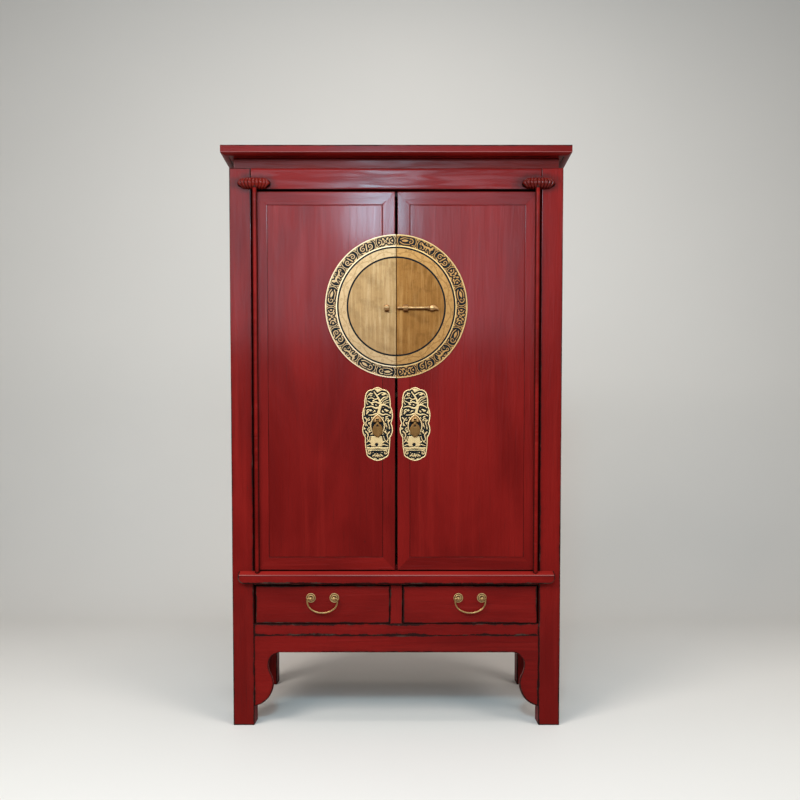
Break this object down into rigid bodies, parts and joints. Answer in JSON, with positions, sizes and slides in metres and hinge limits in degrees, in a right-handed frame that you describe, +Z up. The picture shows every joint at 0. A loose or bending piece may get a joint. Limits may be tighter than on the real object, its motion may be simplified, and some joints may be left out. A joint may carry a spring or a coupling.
{
  "type": "wedding cabinet",
  "caption": "Tall two-door red lacquered cabinet with a round engraved brass lock plate, sliding lock pin, pivot-hung doors, drawers below and a shaped apron.",
  "frame": {"origin": "centre of the footprint of the whole cabinet, on the floor", "axes": "+Z up, -Y out of the front, +X to the right as seen from the front"},
  "size_m": [1.105, 0.548, 1.85],
  "materials": {
    "red_lacquer": "aged red lacquer with worn dark edges, satin",
    "carved_lacquer": "glossy red lacquer over carving, dark in the grooves",
    "inner_wood": "plain dark brown wood, dull",
    "engraved_brass": "brushed brass, engraved on a black ground",
    "aged_brass": "aged brass, satin"
  },
  "bodies": {
    "case": {"front_left_post": "red_lacquer", "front_right_post": "red_lacquer", "rear_left_post": "red_lacquer", "rear_right_post": "red_lacquer", "top_front_rail": "red_lacquer", "top_back_rail": "red_lacquer", "top_side_rails": "red_lacquer", "frieze_boards": "red_lacquer", "cornice_frame": "red_lacquer", "top_panel": "red_lacquer", "left_side_panel": "red_lacquer", "right_side_panel": "red_lacquer", "waist_moulding": "red_lacquer", "mid_front_rail": "red_lacquer", "mid_back_rail": "red_lacquer", "mid_side_rails": "red_lacquer", "drawer_divider": "red_lacquer", "lower_front_rail": "red_lacquer", "lower_back_rail": "red_lacquer", "lower_side_rails": "red_lacquer", "lower_side_panels": "red_lacquer", "front_apron": "red_lacquer", "left_apron": "red_lacquer", "right_apron": "red_lacquer", "back_panel": "inner_wood", "lower_back_panel": "inner_wood", "case_floor": "inner_wood", "shelf": "inner_wood", "shelf_cleats": "inner_wood", "drawer_runners": "inner_wood", "left_pivot_boss": "carved_lacquer", "right_pivot_boss": "carved_lacquer"},
    "left_door": {"left_outer_stile": "red_lacquer", "left_meeting_stile": "red_lacquer", "left_door_rails": "red_lacquer", "left_door_panel": "red_lacquer", "left_pivot_rod": "red_lacquer", "left_disc_half": "engraved_brass", "left_staple": "aged_brass", "left_pull_plate": "engraved_brass"},
    "left_drop": {"left_pull_drop": "aged_brass"},
    "left_drawer": {"left_drawer_front": "red_lacquer", "left_drawer_box": "inner_wood", "left_rosettes": "aged_brass"},
    "left_handle": {"left_bail": "aged_brass"},
    "right_door": {"right_outer_stile": "red_lacquer", "right_meeting_stile": "red_lacquer", "right_door_rails": "red_lacquer", "right_door_panel": "red_lacquer", "right_pivot_rod": "red_lacquer", "right_disc_half": "engraved_brass", "right_staple": "aged_brass", "right_pull_plate": "engraved_brass"},
    "right_drop": {"right_pull_drop": "aged_brass"},
    "right_drawer": {"right_drawer_front": "red_lacquer", "right_drawer_box": "inner_wood", "right_rosettes": "aged_brass"},
    "right_handle": {"right_bail": "aged_brass"},
    "lock_pin": {"lock_pin": "aged_brass"}
  },
  "joints": [
    {"name": "left_door_swing", "type": "hinge", "parent": "case", "child": "left_door", "pos_m": [-0.4475, -0.259, 1.1], "axis": [0, 0, -1], "range_deg": [0, 165]},
    {"name": "right_door_swing", "type": "hinge", "parent": "case", "child": "right_door", "pos_m": [0.4475, -0.259, 1.1], "axis": [0, 0, 1], "range_deg": [0, 165]},
    {"name": "lock_pin_slide", "type": "slide", "parent": "right_door", "child": "lock_pin", "axis": [1, 0, 0], "range_m": [-0.06, 0.028]},
    {"name": "left_drawer_slide", "type": "slide", "parent": "case", "child": "left_drawer", "axis": [0, -1, 0], "range_m": [0, 0.32]},
    {"name": "left_handle_swing", "type": "hinge", "parent": "left_drawer", "child": "left_handle", "pos_m": [-0.2385, -0.261, 0.417], "axis": [-1, 0, 0], "range_deg": [0, 150]},
    {"name": "left_drop_swing", "type": "hinge", "parent": "left_door", "child": "left_drop", "pos_m": [-0.06, -0.26, 0.988], "axis": [-1, 0, 0], "range_deg": [0, 80]},
    {"name": "right_drawer_slide", "type": "slide", "parent": "case", "child": "right_drawer", "axis": [0, -1, 0], "range_m": [0, 0.32]},
    {"name": "right_handle_swing", "type": "hinge", "parent": "right_drawer", "child": "right_handle", "pos_m": [0.2385, -0.261, 0.417], "axis": [-1, 0, 0], "range_deg": [0, 150]},
    {"name": "right_drop_swing", "type": "hinge", "parent": "right_door", "child": "right_drop", "pos_m": [0.06, -0.26, 0.988], "axis": [-1, 0, 0], "range_deg": [0, 80]}
  ]
}
